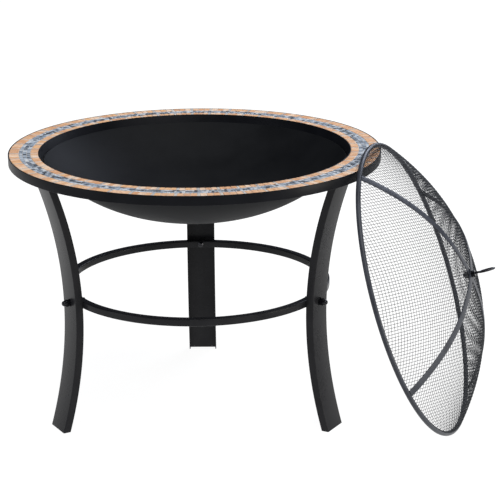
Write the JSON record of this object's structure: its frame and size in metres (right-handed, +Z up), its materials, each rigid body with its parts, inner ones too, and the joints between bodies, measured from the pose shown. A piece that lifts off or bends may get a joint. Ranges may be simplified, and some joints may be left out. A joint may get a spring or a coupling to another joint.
{
  "type": "fire pit table with spark screen",
  "caption": "Round tiled fire pit table on bowed channel legs with a brace ring, a lift-out fire bowl and a domed mesh spark screen leaning on its edge.",
  "frame": {"origin": "on the floor, in the middle of the box round the table and the leaning screen; the axis of the table is at x = -0.10977 m, y = 0.02109 m", "axes": "+Z up from the floor; +X from the table towards the leaning screen; -Y towards the side between the two front legs"},
  "size_m": [0.979, 0.8014, 0.5739],
  "materials": {
    "black_steel": "satin black powder coat",
    "leg_steel": "satin black powder coat, warm in the light",
    "bowl_steel": "heat-proof black paint, dull satin",
    "screen_steel": "grey-black heat-proof paint on tube, flat strip and woven wire",
    "bolt_steel": "black zinc",
    "sandstone": "honed peach sandstone tile",
    "slate": "riven blue-grey slate chips",
    "grout": "pale sanded grout"
  },
  "bodies": {
    "table": {"table_rim": "black_steel", "grout_bed": "grout", "outer_tiles": "sandstone", "slate_band": "slate", "inner_tiles": "sandstone", "brace_ring": "black_steel", "leg_1": "leg_steel", "leg_bracket_1": "black_steel", "brace_bolt_1": "bolt_steel", "brace_washer_1": "bolt_steel", "cap_nut_1": "bolt_steel", "leg_2": "leg_steel", "leg_bracket_2": "black_steel", "brace_bolt_2": "bolt_steel", "brace_washer_2": "bolt_steel", "cap_nut_2": "bolt_steel", "leg_3": "leg_steel", "leg_bracket_3": "black_steel", "brace_bolt_3": "bolt_steel", "brace_washer_3": "bolt_steel", "cap_nut_3": "bolt_steel", "rim_screw_1": "bolt_steel", "rim_screw_2": "bolt_steel", "rim_screw_3": "bolt_steel", "rim_screw_4": "bolt_steel", "rim_screw_5": "bolt_steel", "rim_screw_6": "bolt_steel"},
    "bowl": {"fire_bowl": "bowl_steel"},
    "spark_screen": {"screen_rim": "screen_steel", "screen_mesh": "screen_steel", "screen_strap_1": "screen_steel", "screen_strap_2": "screen_steel", "eye_handle": "bolt_steel", "eye_washer_1": "bolt_steel", "eye_nut_1": "bolt_steel", "eye_washer_2": "bolt_steel", "eye_nut_2": "bolt_steel"}
  },
  "joints": [
    {"name": "bowl_lift", "type": "slide", "parent": "table", "child": "bowl", "axis": [0, 0, 1], "range_m": [0, 0.16]},
    {"name": "screen_lift", "type": "slide", "parent": "table", "child": "spark_screen", "axis": [0, 0, 1], "range_m": [0, 0.6]}
  ]
}
